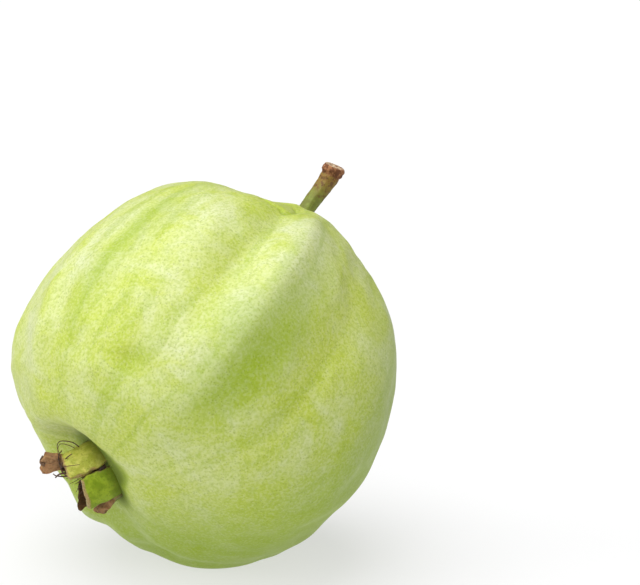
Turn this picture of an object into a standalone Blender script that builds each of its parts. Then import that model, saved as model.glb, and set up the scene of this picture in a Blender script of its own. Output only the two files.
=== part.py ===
"""A green apple guava, picked, lying on its side.

One lobed fruit, its woody stalk, the five sepals that stay on at its blossom end
and the tuft of dried stamens inside them. Lengths below are in millimetres and
angles in degrees. +Z is up and the origin is the middle of the resting spot.
"""
import math
import random

import bmesh
import bpy
import numpy as np

# Scale from the lengths below to Blender's metres
MM = 0.001

# Clear space between neighbouring pieces
GAP = 0.3

# The fruit's own frame: its middle above the resting spot, the direction of its
# stalk end, and the rise of the side that lobe angle 0 faces, which looks along -Y
FRUIT_MIDDLE = (-2.4, 2.2, 51.8)
STALK_END_HEADING = 47.3
STALK_END_RISE = 35.0
FRONT_RISE = 12.0

# Body of the fruit: half its width, half its length, how full it is towards the
# two ends, and how far the belly is pushed out to the side and to the blossom end
GIRTH_RADIUS = 46.5
HALF_LENGTH = 44.5
GIRTH_FULLNESS = 0.90
LENGTH_FULLNESS = 0.92
BELLY_SIDE = 5.5
BELLY_BACK = 5.5

# Lobes and furrows. Each row is: the angle round the fruit, the height as a share
# of the radius (a furrow is below 0), the half width on either side, the angle
# from the stalk end where it is strongest, its reach along the fruit, and how far
# it winds round between the ends
LOBES = (
    (0, 0.085, 9, 7, 80, 45, 3),
    (-13, -0.046, 8, 6, 68, 34, 0),
    (-10, -0.030, 7, 8, 33, 12, 0),
    (8, 0.018, 8, 8, 30, 14, 0),
    (-32, -0.036, 11, 10, 34, 9, 0),
    (-16, 0.020, 8, 6, 20, 6, 0),
    (-15, -0.022, 5, 5, 80, 10, 0),
    (-28, 0.030, 10, 8, 78, 26, 0),
    (-23, -0.026, 12, 8, 124, 9, 0),
    (-28, -0.015, 14, 14, 118, 22, 0),
    (-42, -0.068, 22, 16, 30, 18, 0),
    (-47, -0.018, 3, 4, 84, 30, 14),
    (-57, 0.010, 6, 6, 80, 50, 0),
    (-67, 0.025, 5, 5, 110, 35, 0),
    (-58, -0.020, 5, 6, 124, 28, 0),
    (-74, 0.018, 12, 12, 60, 30, 0),
    (-96, 0.014, 12, 10, 130, 32, 0),
    (-114, -0.030, 9, 10, 144, 22, 0),
    (-135, -0.060, 20, 20, 142, 30, 0),
    (-162, -0.025, 9, 9, 150, 22, 0),
    (-150, 0.030, 14, 12, 80, 50, 6),
    (15, 0.012, 5, 5, 68, 20, 0),
    (26, -0.030, 8, 9, 84, 32, 5),
    (50, 0.038, 14, 14, 75, 60, 6),
    (90, -0.035, 20, 22, 95, 40, 0),
    (110, 0.028, 12, 12, 135, 35, 0),
    (128, -0.018, 6, 6, 138, 35, 0),
    (146, 0.045, 12, 12, 136, 38, 0),
    (164, -0.015, 7, 7, 150, 30, 0),
    (176, 0.052, 12, 12, 150, 30, 0),
    (180, -0.030, 10, 12, 80, 50, -5),
)
CREST_SOFTNESS = 0.45
LOBE_FADE_AT_ENDS = 0.45

# Hollow round the stalk: depth, spread, and the flat that the stalk grows from
STALK_HOLLOW_DEPTH = 7.0
STALK_HOLLOW_SPREAD = 11.0
STALK_HOLLOW_SIDE = -2.2
STALK_FLAT_RADIUS = 3.2
STALK_FLAT_BLEND = 8.0

# Basin at the blossom end: depth, spread, and the flat that the sepals grow from
BASIN_DEPTH = 5.0
BASIN_SPREAD = 11.0
BASIN_FLAT_RADIUS = 8.8
BASIN_FLAT_BLEND = 20.0
CALYX_HEADING = 206.0
CALYX_RISE = -24.0

# Resting spot: the flesh is pressed onto the surface within the first radius, and
# drawn down towards it out to the second
REST_FLAT_RADIUS = 9.0
REST_FLAT_BLEND = 15.5

# Stalk: direction where it leaves the fruit and at its cut end, length, radius
# along it as pairs of share of the length and radius, and shallow ribs
STALK_START = (39.0, 43.0)
STALK_FINISH = (-2.0, 68.0)
STALK_LENGTH = 26.2
STALK_BEND_FROM = 0.74
STALK_RADII = (
    (0.00, 2.45), (0.04, 2.35), (0.12, 2.15), (0.30, 2.05), (0.50, 2.05),
    (0.68, 2.15), (0.78, 2.32), (0.86, 2.52), (0.89, 2.42), (0.915, 2.72),
    (0.96, 2.85), (0.99, 2.70), (1.00, 2.30),
)
STALK_RIBS = 5
STALK_RIB_HEIGHT = 0.04
STALK_SIDES = 20

# Sepals, clockwise round the blossom end from the one seen on top. Each row is:
# name, bearing, length, width at the root, in the middle and at the tip, thickness
# at the root and the tip, lean outwards, curl towards the tip, and at the tip the
# sweep round the calyx, the rise of one margin over the middle, and the twist
SEPAL_ROOT_RADIUS = 6.9
SEPALS = (
    ("sepal_1", 42, 9.0, 8.2, 8.8, 8.0, 2.6, 1.8, 3, -4, 6, -1.2, 12),
    ("sepal_2", -31, 8.5, 8.0, 8.4, 8.4, 2.6, 2.0, -2, 8, 5, -0.7, 0),
    ("sepal_3", -93, 6.0, 5.6, 5.2, 4.0, 2.2, 1.0, 8, 30, 0, -0.8, 0),
    ("sepal_4", -153, 7.9, 7.0, 7.8, 7.8, 2.0, 1.2, -4, 6, 0, 2.5, 0),
    ("sepal_5", 112, 12.8, 6.2, 5.0, 5.4, 2.4, 1.0, -3, 42, -16, 0.0, -60),
)
SEPAL_MIDDLE_AT = 0.45
SEPAL_TWIST_FROM = 0.35
SEPAL_CUTS = 5
SEPAL_TIP_ROUNDING = 0.40
SEPAL_ROOT_ROUNDING = 0.25
SEPAL_SPINE_STEPS = 24

# Dried stamens: a low ring of threads round a central style
STAMEN_COUNT = 14
STAMEN_RING_RADIUS = 3.3
STAMEN_RADIUS = 0.34
STAMEN_LENGTH = (6.0, 9.5)
STAMEN_SIDES = 5
STAMEN_STEPS = 6
STAMEN_LEAN = 4.0
STAMEN_BEND = (-30.0, 50.0)
STAMEN_SPACING_SCATTER = 0.25
STAMEN_SEED = 7
DISC_HEIGHT = 1.2
DISC_PROFILE = ((0.0, 4.4), (0.7, 4.4), (1.0, 3.5))
DISC_SIDES = 24
STYLE_LENGTH = 8.5
STYLE_PROFILE = ((0.0, 0.72), (0.5, 0.47), (0.95, 0.50), (1.0, 0.33))
STYLE_SIDES = 8

# Mesh fineness
FRUIT_SEGMENTS = 72
FRUIT_RINGS = 46


def direction(heading, rise):
    """Unit vector at a compass heading from +X and a rise above level."""
    h = math.radians(heading)
    r = math.radians(rise)
    return np.array((math.cos(r) * math.cos(h), math.cos(r) * math.sin(h), math.sin(r)))


def axes_round(axis):
    """The two axes across the given one: the first looks to the front."""
    front = direction(-90.0, FRONT_RISE)
    across = front - front.dot(axis) * axis
    across /= np.linalg.norm(across)
    return across, np.cross(axis, across)


def smooth_step(value):
    """Soft ramp from 0 to 1."""
    value = np.clip(value, 0.0, 1.0)
    return value * value * (3.0 - 2.0 * value)


def lobe_relief(phi, t):
    """Height of all lobes and furrows as a share of the radius."""
    relief = 0.0 * phi * t
    for angle, height, before, after, centre, reach, winding in LOBES:
        crest = math.radians(angle) - math.radians(winding) * np.cos(t)
        off = (phi - crest + np.pi) % (2.0 * np.pi) - np.pi
        width = np.where(off < 0.0, math.radians(before), math.radians(after))
        across = np.exp(CREST_SOFTNESS - np.hypot(off / width, CREST_SOFTNESS))
        along = np.exp(-((t - math.radians(centre)) / math.radians(reach)) ** 2)
        relief = relief + height * across * along
    return relief * smooth_step(np.sin(t) / LOBE_FADE_AT_ENDS)


def raw_fruit(phi, t):
    """Skin of the fruit before its ends are levelled, in the model's frame."""
    axis = direction(STALK_END_HEADING, STALK_END_RISE)
    front, side = axes_round(axis)
    sine = np.abs(np.sin(t))
    cosine = np.cos(t)
    girth = GIRTH_RADIUS * sine ** GIRTH_FULLNESS
    height = HALF_LENGTH * np.sign(cosine) * np.abs(cosine) ** LENGTH_FULLNESS
    swell = 1.0 + lobe_relief(phi, t)
    x = girth * np.cos(phi)
    y = girth * np.sin(phi)
    hollow = STALK_HOLLOW_DEPTH * np.exp(
        -(x ** 2 + (y - STALK_HOLLOW_SIDE) ** 2) / STALK_HOLLOW_SPREAD ** 2)
    basin = BASIN_DEPTH * np.exp(-(x ** 2 + y ** 2) / BASIN_SPREAD ** 2)
    dip = np.where(cosine > 0.0, -hollow, basin)
    belly = sine ** 2
    along = height * swell + dip - BELLY_BACK * belly
    return (np.array(FRUIT_MIDDLE)
            + (x * swell)[..., None] * front
            + (y * swell + BELLY_SIDE * belly)[..., None] * side
            + along[..., None] * axis)


def stalk_root():
    """Where the stalk leaves the fruit, and its first direction."""
    axis = direction(STALK_END_HEADING, STALK_END_RISE)
    front, side = axes_round(axis)
    point = (np.array(FRUIT_MIDDLE) + STALK_HOLLOW_SIDE * side
             + (HALF_LENGTH - STALK_HOLLOW_DEPTH) * axis)
    return point, direction(*STALK_START)


def calyx_root():
    """Middle of the flat under the sepals, and the way the calyx points."""
    axis = direction(STALK_END_HEADING, STALK_END_RISE)
    point = np.array(FRUIT_MIDDLE) - (HALF_LENGTH - BASIN_DEPTH) * axis
    return point, direction(CALYX_HEADING, CALYX_RISE)


def levelled(points, root, normal, flat, blend):
    """Draws the skin near a root onto the plane that the piece grows from."""
    offset = points - root
    height = offset @ normal
    sideways = np.linalg.norm(offset - height[..., None] * normal, axis=-1)
    near = np.where(np.abs(height) < blend, 1.0, 0.0)
    pull = near * (1.0 - smooth_step((sideways - flat) / (blend - flat)))
    return points - (pull * height)[..., None] * normal


def fruit_skin(phi, t):
    """Finished skin of the fruit in millimetres."""
    points = raw_fruit(phi, t)
    root, way = stalk_root()
    points = levelled(points, root, way, STALK_FLAT_RADIUS, STALK_FLAT_BLEND)
    root, way = calyx_root()
    points = levelled(points, root, way, BASIN_FLAT_RADIUS, BASIN_FLAT_BLEND)
    points = levelled(points, np.zeros(3), np.array((0.0, 0.0, 1.0)), REST_FLAT_RADIUS, REST_FLAT_BLEND)
    points[..., 2] = np.maximum(points[..., 2], 0.0)
    return points


def make_material(name, colour, roughness):
    """Principled material of one colour."""
    material = bpy.data.materials.new(name)
    material.use_nodes = True
    shader = material.node_tree.nodes["Principled BSDF"]
    shader.inputs["Base Color"].default_value = (*colour, 1.0)
    shader.inputs["Roughness"].default_value = roughness
    shader.inputs["Metallic"].default_value = 0.0
    material.diffuse_color = (*colour, 1.0)
    return material


def make_object(name, bm, collection, material):
    """Turns a bmesh in millimetres into an object in metres."""
    bmesh.ops.scale(bm, vec=(MM, MM, MM), verts=bm.verts)
    bmesh.ops.recalc_face_normals(bm, faces=bm.faces)
    mesh = bpy.data.meshes.new(name)
    bm.to_mesh(mesh)
    bm.free()
    mesh.shade_smooth()
    mesh.materials.append(material)
    thing = bpy.data.objects.new(name, mesh)
    collection.objects.link(thing)
    return thing


def make_fruit(collection):
    """The fruit: a sphere whose vertices are moved onto the lobed skin."""
    bm = bmesh.new()
    bmesh.ops.create_uvsphere(bm, u_segments=FRUIT_SEGMENTS, v_segments=FRUIT_RINGS, radius=1.0)
    unit = np.array([vert.co for vert in bm.verts])
    phi = np.arctan2(unit[:, 1], unit[:, 0])
    t = np.arccos(np.clip(unit[:, 2], -1.0, 1.0))
    for vert, point in zip(bm.verts, fruit_skin(phi, t)):
        vert.co = point
    material = make_material("guava_skin", (0.58, 0.70, 0.20), 0.45)
    return make_object("fruit", bm, collection, material)


def rod_mesh(bm, path, radii, sides):
    """Adds a closed rod along a path: a sphere whose rings are moved onto it."""
    rings = len(path)
    made = bmesh.ops.create_uvsphere(bm, u_segments=sides, v_segments=rings + 1, radius=1.0)
    tangents = np.gradient(np.array(path), axis=0)
    for vert in made["verts"]:
        t = math.acos(max(-1.0, min(1.0, vert.co.z)))
        ring = round(t / math.pi * (rings + 1)) - 1
        at_pole = ring < 0 or ring >= rings
        ring = min(max(ring, 0), rings - 1)
        tangent = tangents[ring] / np.linalg.norm(tangents[ring])
        across, over = axes_round(tangent)
        phi = math.atan2(vert.co.y, vert.co.x)
        reach = 0.0 if at_pole else radii(ring, phi)
        vert.co = path[ring] + reach * (math.cos(phi) * across + math.sin(phi) * over)


def make_stalk(collection):
    """The stalk: a ribbed, slightly bent stub with a flared, cut woody end."""
    root, first = stalk_root()
    last = direction(*STALK_FINISH)
    shares = [share for share, radius in STALK_RADII]
    path = [root + GAP * first]
    for before, after in zip(shares, shares[1:]):
        middle = (before + after) / 2.0
        bend = smooth_step((middle - STALK_BEND_FROM) / (1.0 - STALK_BEND_FROM))
        way = first * (1.0 - bend) + last * bend
        path.append(path[-1] + (after - before) * STALK_LENGTH * way / np.linalg.norm(way))

    def radius_at(ring, phi):
        rib = 1.0 + STALK_RIB_HEIGHT * math.cos(STALK_RIBS * phi)
        return STALK_RADII[ring][1] * rib

    bm = bmesh.new()
    rod_mesh(bm, path, radius_at, STALK_SIDES)
    material = make_material("stalk_bark", (0.33, 0.30, 0.09), 0.7)
    return make_object("stalk", bm, collection, material)


def sepal_section(share, row):
    """Width and thickness of a sepal at a share of its length."""
    root_width, middle_width, tip_width, root_thick, tip_thick = row[3:8]
    rise = smooth_step(share / SEPAL_MIDDLE_AT)
    fall = smooth_step((share - SEPAL_MIDDLE_AT) / (1.0 - SEPAL_MIDDLE_AT))
    width = root_width + (middle_width - root_width) * rise + (tip_width - middle_width) * fall
    thick = root_thick + (tip_thick - root_thick) * smooth_step(share)
    return width, thick


def sepal_spine(share, row):
    """Distance from the calyx axis, height, and lean of a sepal's middle line."""
    length, lean, curl = row[2], row[8], row[9]
    reach = SEPAL_ROOT_RADIUS
    height = 0.0
    stride = share * length / SEPAL_SPINE_STEPS
    for step in range(SEPAL_SPINE_STEPS):
        along = share * (step + 0.5) / SEPAL_SPINE_STEPS
        angle = math.radians(lean + curl * along ** 2)
        reach += math.sin(angle) * stride
        height += math.cos(angle) * stride
    return reach, height, math.radians(lean + curl * share ** 2)


def sepal_turns(share, row):
    """Sweep round the calyx, rise of a margin and twist at a share of a sepal."""
    sweep, slant, twist = row[10:13]
    grown = smooth_step(share)
    turned = smooth_step((share - SEPAL_TWIST_FROM) / (1.0 - SEPAL_TWIST_FROM))
    return math.radians(sweep) * grown, slant * grown, math.radians(twist) * turned


def make_sepal(collection, row, material):
    """One fleshy sepal: a rounded block, tapered, leaned and curled."""
    root, axis = calyx_root()
    front, side = axes_round(axis)
    bearing = math.radians(row[1])
    out = math.cos(bearing) * front + math.sin(bearing) * side
    over = np.cross(axis, out)
    bm = bmesh.new()
    bmesh.ops.create_cube(bm, size=2.0)
    bmesh.ops.subdivide_edges(bm, edges=bm.edges[:], cuts=SEPAL_CUTS, use_grid_fill=True)
    for vert in bm.verts:
        box = vert.co.copy()
        ball = box.normalized() * max(abs(box.x), abs(box.y), abs(box.z))
        soft = box.lerp(ball, SEPAL_TIP_ROUNDING if box.z > 0.0 else SEPAL_ROOT_ROUNDING)
        share = (soft.z + 1.0) / 2.0
        width, thick = sepal_section(share, row)
        reach, height, lean = sepal_spine(share, row)
        sweep, slant, twist = sepal_turns(share, row)
        across = (soft.x * width * math.cos(twist) - soft.y * thick * math.sin(twist)) / 2.0
        depth = (soft.x * width * math.sin(twist) + soft.y * thick * math.cos(twist)) / 2.0
        swing = across / SEPAL_ROOT_RADIUS + sweep
        radius = reach + depth * math.cos(lean)
        rise = GAP + height - depth * math.sin(lean) + slant * soft.x
        vert.co = (root + radius * (math.cos(swing) * out + math.sin(swing) * over)
                   + max(rise, GAP) * axis)
    bmesh.ops.triangulate(bm, faces=bm.faces[:])
    return make_object(row[0], bm, collection, material)


def stamen_path(rng, index, root, axis, front, side):
    """Path of one dried stamen: up out of the disc, then bent over."""
    scatter = rng.uniform(-STAMEN_SPACING_SCATTER, STAMEN_SPACING_SCATTER)
    bearing = 2.0 * math.pi * (index + scatter) / STAMEN_COUNT
    length = rng.uniform(*STAMEN_LENGTH)
    bend = rng.uniform(*STAMEN_BEND)
    out = math.cos(bearing) * front + math.sin(bearing) * side
    path = [root + STAMEN_RING_RADIUS * out + (GAP + DISC_HEIGHT * 0.5) * axis]
    for step in range(STAMEN_STEPS):
        share = (step + 0.5) / STAMEN_STEPS
        angle = math.radians(STAMEN_LEAN + bend * share ** 2)
        way = math.cos(angle) * axis + math.sin(angle) * out
        path.append(path[-1] + way / np.linalg.norm(way) * length / STAMEN_STEPS)
    return path


def make_stamens(collection, cutters):
    """The dried stamens and style, joined to the low disc that they grow from."""
    root, axis = calyx_root()
    front, side = axes_round(axis)
    material = make_material("dried_brown", (0.10, 0.05, 0.02), 0.85)
    bm = bmesh.new()
    disc_path = [root + (GAP + share * DISC_HEIGHT) * axis for share, radius in DISC_PROFILE]
    rod_mesh(bm, disc_path, lambda ring, phi: DISC_PROFILE[ring][1], DISC_SIDES)
    stamens = make_object("stamens", bm, collection, material)
    bm = bmesh.new()
    foot = root + (GAP + DISC_HEIGHT / 2.0) * axis
    style_path = [foot + share * STYLE_LENGTH * axis for share, radius in STYLE_PROFILE]
    rod_mesh(bm, style_path, lambda ring, phi: STYLE_PROFILE[ring][1], STYLE_SIDES)
    make_object("style_core", bm, cutters, material)
    rng = random.Random(STAMEN_SEED)
    for index in range(STAMEN_COUNT):
        path = stamen_path(rng, index, root, axis, front, side)
        bm = bmesh.new()
        rod_mesh(bm, path, lambda ring, phi: STAMEN_RADIUS, STAMEN_SIDES)
        make_object("stamen_thread_%02d" % index, bm, cutters, material)
    join_cutters(stamens, cutters)
    return stamens


def join_cutters(target, cutters):
    """Joins all that the collection holds to the target, and removes it."""
    union = target.modifiers.new("join", "BOOLEAN")
    union.operation = "UNION"
    union.operand_type = "COLLECTION"
    union.collection = cutters
    union.solver = "EXACT"
    bpy.context.view_layer.update()
    evaluated = target.evaluated_get(bpy.context.evaluated_depsgraph_get())
    joined = bpy.data.meshes.new_from_object(evaluated)
    target.modifiers.remove(union)
    target.data = joined
    for thing in list(cutters.objects):
        bpy.data.objects.remove(thing, do_unlink=True)


def main():
    for thing in list(bpy.data.objects):
        bpy.data.objects.remove(thing, do_unlink=True)
    guava = bpy.data.collections.new("guava")
    cutters = bpy.data.collections.new("guava_cutters")
    bpy.context.scene.collection.children.link(guava)
    bpy.context.scene.collection.children.link(cutters)
    make_fruit(guava)
    make_stalk(guava)
    green = make_material("sepal_green", (0.28, 0.36, 0.06), 0.5)
    for row in SEPALS:
        make_sepal(guava, row, green)
    make_stamens(guava, cutters)


main()
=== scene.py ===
import math
import random

import bmesh
import bpy
import numpy as np
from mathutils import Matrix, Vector, noise


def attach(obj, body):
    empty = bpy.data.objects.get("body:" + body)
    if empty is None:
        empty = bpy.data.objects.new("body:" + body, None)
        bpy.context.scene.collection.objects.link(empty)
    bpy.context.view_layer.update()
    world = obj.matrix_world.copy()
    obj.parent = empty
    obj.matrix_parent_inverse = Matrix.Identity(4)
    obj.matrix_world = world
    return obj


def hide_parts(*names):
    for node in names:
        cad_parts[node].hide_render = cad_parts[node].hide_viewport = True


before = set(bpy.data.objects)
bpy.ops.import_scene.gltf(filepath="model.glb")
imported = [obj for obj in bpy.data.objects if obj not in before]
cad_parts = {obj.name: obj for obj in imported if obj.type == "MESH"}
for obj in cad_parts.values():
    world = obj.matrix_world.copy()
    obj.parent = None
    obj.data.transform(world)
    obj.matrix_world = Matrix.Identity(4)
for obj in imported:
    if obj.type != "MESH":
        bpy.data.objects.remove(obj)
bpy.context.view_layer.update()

# Scale from the lengths below, in millimetres, to Blender's metres
MM = 0.001

# The fruit's own axes, the same as in the solids: its middle above the resting spot,
# the heading and rise of its stalk end, and the rise of the side that angle 0 faces
FRUIT_MIDDLE = np.array((-2.4, 2.2, 51.8))
STALK_END_HEADING = 47.3
STALK_END_RISE = 35.0
FRONT_RISE = 12.0

# Body of the fruit: half width, half length, fullness, and push of the belly
GIRTH_RADIUS = 46.5
HALF_LENGTH = 44.5
GIRTH_FULLNESS = 0.90
LENGTH_FULLNESS = 0.92
BELLY_SIDE = 5.5
BELLY_BACK = 5.5

# Lobes and furrows: angle round the fruit, height as a share of the radius, half
# width on either side, angle from the stalk end where it is strongest, reach
# along the fruit, and how far it winds round between the ends
LOBES = (
    (0, 0.085, 9, 7, 80, 45, 3),
    (-13, -0.046, 8, 6, 68, 34, 0),
    (-10, -0.030, 7, 8, 33, 12, 0),
    (8, 0.018, 8, 8, 30, 14, 0),
    (-32, -0.036, 11, 10, 34, 9, 0),
    (-16, 0.020, 8, 6, 20, 6, 0),
    (-15, -0.022, 5, 5, 80, 10, 0),
    (-28, 0.030, 10, 8, 78, 26, 0),
    (-23, -0.026, 12, 8, 124, 9, 0),
    (-28, -0.015, 14, 14, 118, 22, 0),
    (-42, -0.068, 22, 16, 30, 18, 0),
    (-47, -0.018, 3, 4, 84, 30, 14),
    (-57, 0.010, 6, 6, 80, 50, 0),
    (-67, 0.025, 5, 5, 110, 35, 0),
    (-58, -0.020, 5, 6, 124, 28, 0),
    (-74, 0.018, 12, 12, 60, 30, 0),
    (-96, 0.014, 12, 10, 130, 32, 0),
    (-114, -0.030, 9, 10, 144, 22, 0),
    (-135, -0.060, 20, 20, 142, 30, 0),
    (-162, -0.025, 9, 9, 150, 22, 0),
    (-150, 0.030, 14, 12, 80, 50, 6),
    (15, 0.012, 5, 5, 68, 20, 0),
    (26, -0.030, 8, 9, 84, 32, 5),
    (50, 0.038, 14, 14, 75, 60, 6),
    (90, -0.035, 20, 22, 95, 40, 0),
    (110, 0.028, 12, 12, 135, 35, 0),
    (128, -0.018, 6, 6, 138, 35, 0),
    (146, 0.045, 12, 12, 136, 38, 0),
    (164, -0.015, 7, 7, 150, 30, 0),
    (176, 0.052, 12, 12, 150, 30, 0),
    (180, -0.030, 10, 12, 80, 50, -5),
)
CREST_SOFTNESS = 0.45
LOBE_FADE_AT_ENDS = 0.45

# Hollow round the stalk, basin at the blossom end, and the flats in them
STALK_HOLLOW_DEPTH = 7.0
STALK_HOLLOW_SPREAD = 11.0
STALK_HOLLOW_SIDE = -2.2
STALK_FLAT_RADIUS = 3.2
STALK_FLAT_BLEND = 8.0
BASIN_DEPTH = 5.0
BASIN_SPREAD = 11.0
BASIN_FLAT_RADIUS = 8.8
BASIN_FLAT_BLEND = 20.0
CALYX_HEADING = 206.0
CALYX_RISE = -24.0
REST_FLAT_RADIUS = 9.0
REST_FLAT_BLEND = 15.5

# Fineness of the skin, and its own relief: each row is the size of the dents
# across and along the fruit and their height, all in millimetres; the relief is
# full from a given height above the floor
SKIN_SEGMENTS = 440
SKIN_RINGS = 222
SKIN_DENTS = (
    (9.0, 15.0, 0.50),
    (4.5, 7.0, 0.26),
    (2.2, 3.0, 0.04),
)
RELIEF_FULL_FROM = 3.0

# Edge of the block of random values that smooth noise repeats
NOISE_CELLS = 32

# Wander of the crests in degrees, with its cells of noise, their seed, and its
# fade towards the ends; then the streaks along the skin
CREST_WANDER = 1.8
WANDER_CELLS = 5.0
WANDER_SEED = 5
WANDER_FADE_AT_ENDS = 0.8
STREAK_CELLS_ROUND = 17.0
STREAK_CELLS_ALONG = 1.6
STREAK_SEED = 9

# Colours of the skin, and the height of a crest that counts as a full lobe
SKIN_PALE = (0.62, 0.66, 0.39)
SKIN_MID = (0.495, 0.572, 0.088)
SKIN_DEEP = (0.265, 0.380, 0.006)
SKIN_SPECK = (0.16, 0.22, 0.02)
SKIN_SHADE = (0.08, 0.12, 0.006)
FULL_LOBE = 0.06

# Sizes in the colour of the skin, in millimetres: patches, mottling, grain, specks,
# and the patches where specks stand thick
PATCH_SIZE = 11.0
MOTTLE_SIZE = 3.2
GRAIN_SIZE = 0.70
SPECK_SIZE = 0.72
THICK_SPECK_SIZE = 2.6

# Painted light and shade on the skin: the way the lit side faces, where the painted
# shade of the lower side begins, how softly and how strongly; then bands of painted
# shade and of painted light given by angle round the fruit, half width, angle from
# the stalk end, reach and strength
LIT_SIDE = (-125.0, 52.0)
SHADE_BELOW = 0.25
SHADE_BLEND = 0.90
SHADE_UNDER = 0.88
PAINTED_SHADE_BANDS = (
    (8, 9, 100, 30, 0.62),
    (62, 12, 84, 30, 0.20),
    (-5, 7, 95, 9, 0.25),
    (-50, 3, 84, 38, 0.45),
    (-20, 5, 60, 20, 0.12),
    (-20, 12, 138, 14, 0.12),
)
PAINTED_LIGHT_BANDS = (
    (-41, 12, 68, 13, 0.80),
    (-60, 12, 98, 14, 0.45),
    (-8, 6, 66, 18, 0.90),
    (-38, 10, 100, 13, 0.45),
    (-9, 8, 119, 15, 0.80),
    (-59, 5, 84, 30, 0.50),
    (-76, 8, 118, 18, 0.45),
)

# Painted shade round the calyx and in the hollow of the stalk: full up to a distance
# from the root and faded over a further one, in millimetres; round the calyx it
# reaches further on one side, given by its angle and by the cosine of half its width
CALYX_SHADE_TO = 7.5
CALYX_SHADE_FADE = 5.0
CALYX_SHADE_FURTHER = 4.5
CALYX_SHADE_SIDE = 2.0
CALYX_SHADE_SIDE_EDGE = 0.75
STALK_SHADE_TO = 3.0
STALK_SHADE_FADE = 6.0

# Small fold of the skin beside the stalk: angle round the fruit and angle from
# the stalk end of its points, then its depth and half width in millimetres, the
# points it is measured at and its share of painted shade, in deeper green
FOLD = ((-12, 30), (-10, 37), (-11, 44), (-14, 47), (-17, 45), (-21, 46), (-25, 45))
FOLD_DEPTH = 0.5
FOLD_WIDTH = 0.75
FOLD_STEPS = 60
FOLD_SHADE = 0.45

# Fine puckers in a ring round the calyx and the stalk: their number, their height,
# the half width of the ring and its distance from each root, in millimetres; then
# how unevenly they stand and how much they wind
PUCKER_COUNT = 31
PUCKER_HEIGHT = 0.025
PUCKER_REACH = 6.0
PUCKER_FROM_CALYX = 13.0
PUCKER_FROM_STALK = 4.0
PUCKER_CLEAR_OF_ROOT = 3.0
PUCKER_UNEVENNESS = 3.0
PUCKER_WINDING = 0.35

# Stalk: headings and rises of its two ends, length, where it begins to bend, and
# its radius at shares of its length; the last rings close the cut
STALK_START = (39.0, 43.0)
STALK_FINISH = (-2.0, 68.0)
STALK_LENGTH = 26.2
STALK_BEND_FROM = 0.74
STALK_RADII = (
    (0.00, 2.75), (0.03, 2.55), (0.08, 2.25), (0.15, 2.08), (0.30, 2.02), (0.50, 2.02),
    (0.66, 2.12), (0.78, 2.30), (0.86, 2.50), (0.885, 2.46), (0.895, 2.40), (0.908, 2.62),
    (0.93, 2.78), (0.960, 2.86), (0.980, 2.80), (0.993, 2.66), (1.000, 2.45), (0.993, 2.0),
    (0.982, 1.0),
)
STALK_SIDES = 72
STALK_FILL_RINGS = 110
STALK_PATH_STEPS = 200
STALK_CUT_RINGS = 3

# Relief of the stalk as shares of its radius: ribs by count, shift and height, bark
# and its finer grain, and cracks on the flared end; cells of noise are given round
# and along it
STALK_RIBS = ((5.0, 0.0, 0.04), (13.0, 1.0, 0.012))
BARK_CELLS = (1.6, 9.0)
BARK_HEIGHT = 0.05
BARK_GRAIN_HEIGHT = 0.03
FLARE_FROM = 0.885
FLARE_BLEND = 0.03
CRACK_CELLS = (4.0, 40.0)
CRACK_HEIGHT = 0.10

# Colours of the stalk: olive bark and its darker patches, ochre bark further up,
# freckles, stains, the wood of the flared end with its cracks, and the cut
STALK_OLIVE = (0.21, 0.25, 0.038)
STALK_DARK_OLIVE = (0.155, 0.17, 0.022)
STALK_OCHRE = (0.24, 0.15, 0.025)
STALK_FRECKLE = (0.20, 0.07, 0.02)
STALK_STAIN = (0.13, 0.06, 0.015)
STALK_WOOD = (0.36, 0.16, 0.07)
STALK_DARK_WOOD = (0.15, 0.055, 0.022)
STALK_CRACK = (0.05, 0.02, 0.01)
CUT_PALE = (0.60, 0.46, 0.30)
CUT_DARK = (0.22, 0.11, 0.06)

# Sepals: name, bearing, length, width at root, middle and tip, thickness at root
# and tip, lean, curl, and at the tip the sweep, the rise of a margin and the twist
SEPAL_ROOT_RADIUS = 6.9
SEPALS = (
    ("sepal_1", 42, 9.0, 8.2, 8.8, 8.0, 2.6, 1.8, 3, -4, 6, -1.2, 12),
    ("sepal_2", -31, 8.5, 8.0, 8.4, 8.4, 2.6, 2.0, -2, 8, 5, -0.7, 0),
    ("sepal_3", -93, 6.0, 5.6, 5.2, 4.0, 2.2, 1.0, 8, 30, 0, -0.8, 0),
    ("sepal_4", -153, 7.9, 7.0, 7.8, 7.8, 2.0, 1.2, -4, 6, 0, 2.5, 0),
    ("sepal_5", 112, 12.8, 6.2, 5.0, 5.4, 2.4, 1.0, -3, 42, -16, 0.0, -60),
)
SEPAL_MIDDLE_AT = 0.45
SEPAL_TWIST_FROM = 0.35
SEPAL_GAP = 0.3
SEPAL_SINK = 1.3
SEPAL_CUTS = 27
SEPAL_TIP_ROUNDING = 0.36
SEPAL_ROOT_ROUNDING = 0.25
SEPAL_SPINE_STEPS = 24

# Crumpling of a sepal: ragged margins as a share of its width, then the waves
# across it and the rise and fall of its tip, in millimetres
SEPAL_RAGGEDNESS = 0.35
SEPAL_WAVE = 1.3
SEPAL_BUCKLE = 0.8
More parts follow.
